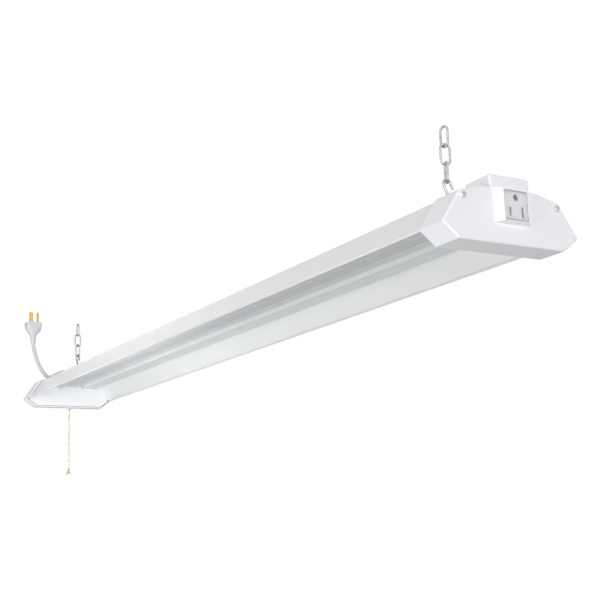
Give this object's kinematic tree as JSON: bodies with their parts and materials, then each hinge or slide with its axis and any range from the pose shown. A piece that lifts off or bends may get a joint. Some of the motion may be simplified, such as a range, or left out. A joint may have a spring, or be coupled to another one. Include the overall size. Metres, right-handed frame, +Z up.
{
  "type": "hanging shop light",
  "caption": "Long white shop light with lens strips, end caps with a linking outlet and a pull switch, hung on two short chains.",
  "frame": {"origin": "midway between the two chains, at the height where their top links bear on the ceiling hooks", "axes": "+Y along the light from the outlet end to the cord end, +Z up, +X across"},
  "size_m": [0.1402, 1.1748, 0.2748],
  "materials": {
    "housing_white": "satin baked enamel",
    "reflector_white": "satin baked enamel",
    "cover_white": "satin",
    "wire_insulation": "matt",
    "lens_acrylic": "frosted",
    "board_white": "matt",
    "phosphor": "matt",
    "cap_plastic": "satin moulded",
    "outlet_plastic": "satin moulded",
    "zinc": "bright zinc plate",
    "brass": "plain",
    "bead_brass": "bright",
    "driver_case": "matt",
    "phenolic": "matt",
    "nipple_steel": "plain",
    "cord_jacket": "satin",
    "tie_nylon": "satin"
  },
  "bodies": {
    "fixture": {"housing_roof": "housing_white", "housing_side_left": "housing_white", "housing_side_right": "housing_white", "reflector_ceiling": "reflector_white", "reflector_wing_left": "reflector_white", "reflector_wing_right": "reflector_white", "wire_cover": "cover_white", "through_wires": "wire_insulation", "lens_left": "lens_acrylic", "lens_right": "lens_acrylic", "led_board_left": "board_white", "led_board_right": "board_white", "led_chips_left": "phosphor", "led_chips_right": "phosphor", "end_cap_outlet": "cap_plastic", "end_cap_cord": "cap_plastic", "end_plate_near": "reflector_white", "end_plate_far": "reflector_white", "lens_holders_near": "cap_plastic", "lens_holders_far": "cap_plastic", "receptacle": "outlet_plastic", "receptacle_contacts": "brass", "driver_left": "driver_case", "driver_right": "driver_case", "cap_screws_near": "zinc", "cap_screws_far": "zinc", "screw_brackets_near": "zinc", "screw_brackets_far": "zinc", "hanger_bracket_near": "zinc", "hanger_bracket_far": "zinc", "bracket_rivets": "zinc", "pull_switch": "phenolic", "switch_nipple": "nipple_steel", "strain_relief": "cord_jacket", "cord_lead": "cord_jacket", "cord_hank": "cord_jacket", "cord_run": "cord_jacket", "hank_tie": "tie_nylon", "plug_body": "cord_jacket", "plug_blades": "brass", "plug_ground_pin": "brass"},
    "pull_slide": {"pull_plunger": "brass"},
    "pull_cord": {"pull_chain": "bead_brass", "pull_bell": "bead_brass"},
    "hook_near": {"hook_near": "zinc"},
    "link_near_1": {"link_near_1": "zinc"},
    "link_near_2": {"link_near_2": "zinc"},
    "link_near_3": {"link_near_3": "zinc"},
    "hook_far": {"hook_far": "zinc"},
    "link_far_1": {"link_far_1": "zinc"},
    "link_far_2": {"link_far_2": "zinc"},
    "link_far_3": {"link_far_3": "zinc"}
  },
  "joints": [
    {"name": "hook_near_swing", "type": "hinge", "parent": "fixture", "child": "hook_near", "pos_m": [0.00061, -0.482, -0.07655], "axis": [1, 0, 0], "range_deg": [-40, 40]},
    {"name": "link_near_1_swing", "type": "hinge", "parent": "hook_near", "child": "link_near_1", "pos_m": [0, -0.482, -0.04831], "axis": [1, 0, 0], "range_deg": [-40, 40]},
    {"name": "link_near_2_swing", "type": "hinge", "parent": "link_near_1", "child": "link_near_2", "pos_m": [0, -0.482, -0.03194], "axis": [0.4067, 0.9135, 0], "range_deg": [-40, 40]},
    {"name": "link_near_3_swing", "type": "hinge", "parent": "link_near_2", "child": "link_near_3", "pos_m": [0, -0.482, -0.01542], "axis": [0.9659, -0.2588, 0], "range_deg": [-40, 40]},
    {"name": "hook_far_swing", "type": "hinge", "parent": "fixture", "child": "hook_far", "pos_m": [0.00045, 0.48241, -0.07655], "axis": [0.7431, 0.6691, 0], "range_deg": [-40, 40]},
    {"name": "link_far_1_swing", "type": "hinge", "parent": "hook_far", "child": "link_far_1", "pos_m": [0, 0.482, -0.04831], "axis": [0.7431, 0.6691, 0], "range_deg": [-40, 40]},
    {"name": "link_far_2_swing", "type": "hinge", "parent": "link_far_1", "child": "link_far_2", "pos_m": [0, 0.482, -0.03194], "axis": [-0.342, 0.9397, 0], "range_deg": [-40, 40]},
    {"name": "link_far_3_swing", "type": "hinge", "parent": "link_far_2", "child": "link_far_3", "pos_m": [0, 0.482, -0.01542], "axis": [1, 0, 0], "range_deg": [-40, 40]},
    {"name": "pull_switch_slide", "type": "slide", "parent": "fixture", "child": "pull_slide", "axis": [0, 0, -1], "range_m": [0, 0.007], "stiffness_N_per_m": 300, "springref_m": -0.004},
    {"name": "pull_chain_swing", "type": "hinge", "parent": "pull_slide", "child": "pull_cord", "pos_m": [0.003, 0.5296, -0.12896], "axis": [0, 1, 0], "range_deg": [-35, 35]}
  ]
}
